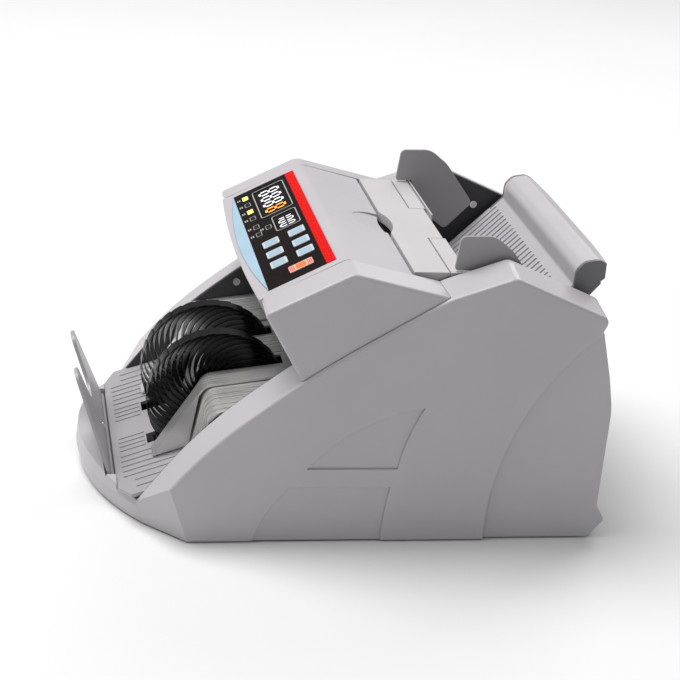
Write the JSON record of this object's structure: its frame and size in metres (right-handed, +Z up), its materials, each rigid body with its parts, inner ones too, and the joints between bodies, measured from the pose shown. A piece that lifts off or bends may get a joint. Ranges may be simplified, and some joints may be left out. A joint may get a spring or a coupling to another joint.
{
  "type": "banknote counting machine",
  "caption": "Desktop banknote counter with rear hopper, ribbed incline, hood with control panel, friction feed, finned stacking wheels and folding stop plate",
  "frame": {"origin": "on the table surface, under the centre of the machine's bounding box", "axes": "+Z up; -Y towards the operator, where counted notes are stacked; +X to the operator's right"},
  "size_m": [0.26, 0.3464, 0.2003],
  "materials": {
    "body_plastic": "fine moulded texture, light warm grey",
    "light_plastic": "smooth moulded, light grey",
    "dark_plastic": "satin dark grey",
    "grey_plastic": "satin mid grey",
    "frame_steel": "dark grey coated sheet",
    "bright_steel": "brushed sheet",
    "shaft_steel": "ground steel",
    "black_rubber": "black rubber",
    "roller_rubber": "grey-brown friction rubber",
    "panel_black": "printed polyester film",
    "display_dark": "display face",
    "lamp_lens": "small lamp lens",
    "key_blue": "light blue key",
    "key_orange": "orange key",
    "board_green": "circuit board lacquer",
    "black_plastic": "moulded black plastic",
    "bush_brass": "sintered bush",
    "motor_metal": "zinc plated cans and laminations"
  },
  "bodies": {
    "chassis": {"base_pan": "dark_plastic", "display_board": "board_green", "drive_belts": "black_rubber", "drive_motor": "motor_metal", "flap_pin": "shaft_steel", "frame_plate_left": "frame_steel", "frame_plate_right": "frame_steel", "front_nose": "body_plastic", "guide_rail": "shaft_steel", "guide_strip_left": "bright_steel", "guide_strip_right": "bright_steel", "handle_shell": "dark_plastic", "hood_cheek_left": "body_plastic", "hood_cheek_right": "body_plastic", "hood_deck": "body_plastic", "hopper_plate": "body_plastic", "main_board": "board_green", "panel_overlay": "panel_black", "power_inlet": "black_plastic", "rear_cover": "body_plastic", "retard_bracket": "black_plastic", "retard_rollers": "roller_rubber", "rubber_feet": "black_rubber", "segment_displays": "display_dark", "shaft_bushes": "bush_brass", "side_cover_left": "body_plastic", "side_cover_right": "body_plastic", "stacker_floor": "light_plastic", "stacker_ramp": "bright_steel", "status_lamps": "lamp_lens", "stop_hinge_pin": "shaft_steel", "throat_bar": "light_plastic", "tie_rods": "shaft_steel", "transformer": "motor_metal", "wall_screws": "shaft_steel"},
    "stop_plate": {"stop_plate": "grey_plastic"},
    "flap": {"top_flap": "light_plastic"},
    "guide_left": {"note_guide_left": "grey_plastic"},
    "guide_right": {"note_guide_right": "grey_plastic"},
    "feed": {"feed_shaft": "shaft_steel", "feed_rollers": "roller_rubber", "feed_pulley": "black_plastic", "encoder_disc": "black_plastic"},
    "pickup": {"pickup_shaft": "shaft_steel", "pickup_rollers": "roller_rubber", "pickup_pulley": "black_plastic"},
    "impeller": {"impeller_shaft": "shaft_steel", "impeller_left": "black_rubber", "impeller_right": "black_rubber", "impeller_pulley": "black_plastic"},
    "motor_rotor": {"motor_pulley": "black_plastic"},
    "density_adjuster": {"density_screw": "shaft_steel"},
    "rocker": {"power_rocker": "black_plastic"},
    "key_mode": {"key_mode": "key_blue"},
    "key_add": {"key_add": "key_blue"},
    "key_batch": {"key_batch": "key_blue"},
    "key_detect": {"key_detect": "key_blue"},
    "key_plus": {"key_plus": "key_blue"},
    "key_minus": {"key_minus": "key_blue"},
    "key_start": {"key_start": "key_orange"}
  },
  "joints": [
    {"name": "stop_plate_fold", "type": "hinge", "parent": "chassis", "child": "stop_plate", "pos_m": [0, -0.1483, 0.0156], "axis": [-1, 0, 0], "range_deg": [0, 35]},
    {"name": "flap_lift", "type": "hinge", "parent": "chassis", "child": "flap", "pos_m": [0, 0.0665, 0.1722], "axis": [-1, 0, 0], "range_deg": [0, 32]},
    {"name": "guide_slide_left", "type": "slide", "parent": "chassis", "child": "guide_left", "axis": [1, 0, 0], "range_m": [0, 0.045]},
    {"name": "guide_slide_right", "type": "slide", "parent": "chassis", "child": "guide_right", "axis": [-1, 0, 0], "range_m": [0, 0.045]},
    {"name": "feed_spin", "type": "hinge", "parent": "chassis", "child": "feed", "pos_m": [0, 0.03, 0.0716], "axis": [1, 0, 0], "continuous": true},
    {"name": "pickup_spin", "type": "hinge", "parent": "chassis", "child": "pickup", "pos_m": [0, 0.0995, 0.1062], "axis": [1, 0, 0], "continuous": true},
    {"name": "impeller_spin", "type": "hinge", "parent": "chassis", "child": "impeller", "pos_m": [0, -0.076, 0.058], "axis": [1, 0, 0], "continuous": true},
    {"name": "motor_spin", "type": "hinge", "parent": "chassis", "child": "motor_rotor", "pos_m": [0, 0.118, 0.04], "axis": [1, 0, 0], "continuous": true},
    {"name": "density_turn", "type": "hinge", "parent": "chassis", "child": "density_adjuster", "pos_m": [0, 0.0465, 0.15], "axis": [0, 0, 1], "range_deg": [-180, 180]},
    {"name": "power_rock", "type": "hinge", "parent": "chassis", "child": "rocker", "pos_m": [-0.022, 0.1635, 0.044], "axis": [1, 0, 0], "range_deg": [0, 10]},
    {"name": "key_mode_press", "type": "slide", "parent": "chassis", "child": "key_mode", "axis": [0, 0.4655, -0.885], "range_m": [0, 0.0006], "stiffness_N_per_m": 400, "springref_m": -0.0006},
    {"name": "key_add_press", "type": "slide", "parent": "chassis", "child": "key_add", "axis": [0, 0.4655, -0.885], "range_m": [0, 0.0006], "stiffness_N_per_m": 400, "springref_m": -0.0006},
    {"name": "key_batch_press", "type": "slide", "parent": "chassis", "child": "key_batch", "axis": [0, 0.4655, -0.885], "range_m": [0, 0.0006], "stiffness_N_per_m": 400, "springref_m": -0.0006},
    {"name": "key_detect_press", "type": "slide", "parent": "chassis", "child": "key_detect", "axis": [0, 0.4655, -0.885], "range_m": [0, 0.0006], "stiffness_N_per_m": 400, "springref_m": -0.0006},
    {"name": "key_plus_press", "type": "slide", "parent": "chassis", "child": "key_plus", "axis": [0, 0.4655, -0.885], "range_m": [0, 0.0006], "stiffness_N_per_m": 400, "springref_m": -0.0006},
    {"name": "key_minus_press", "type": "slide", "parent": "chassis", "child": "key_minus", "axis": [0, 0.4655, -0.885], "range_m": [0, 0.0006], "stiffness_N_per_m": 400, "springref_m": -0.0006},
    {"name": "key_start_press", "type": "slide", "parent": "chassis", "child": "key_start", "axis": [0, 0.4655, -0.885], "range_m": [0, 0.0006], "stiffness_N_per_m": 400, "springref_m": -0.0006}
  ],
  "couplings": [
    {"joint": "pickup_spin", "follows": "feed_spin", "ratio": 1.4},
    {"joint": "impeller_spin", "follows": "feed_spin", "ratio": 1.2727},
    {"joint": "motor_spin", "follows": "feed_spin", "ratio": 1.75}
  ]
}
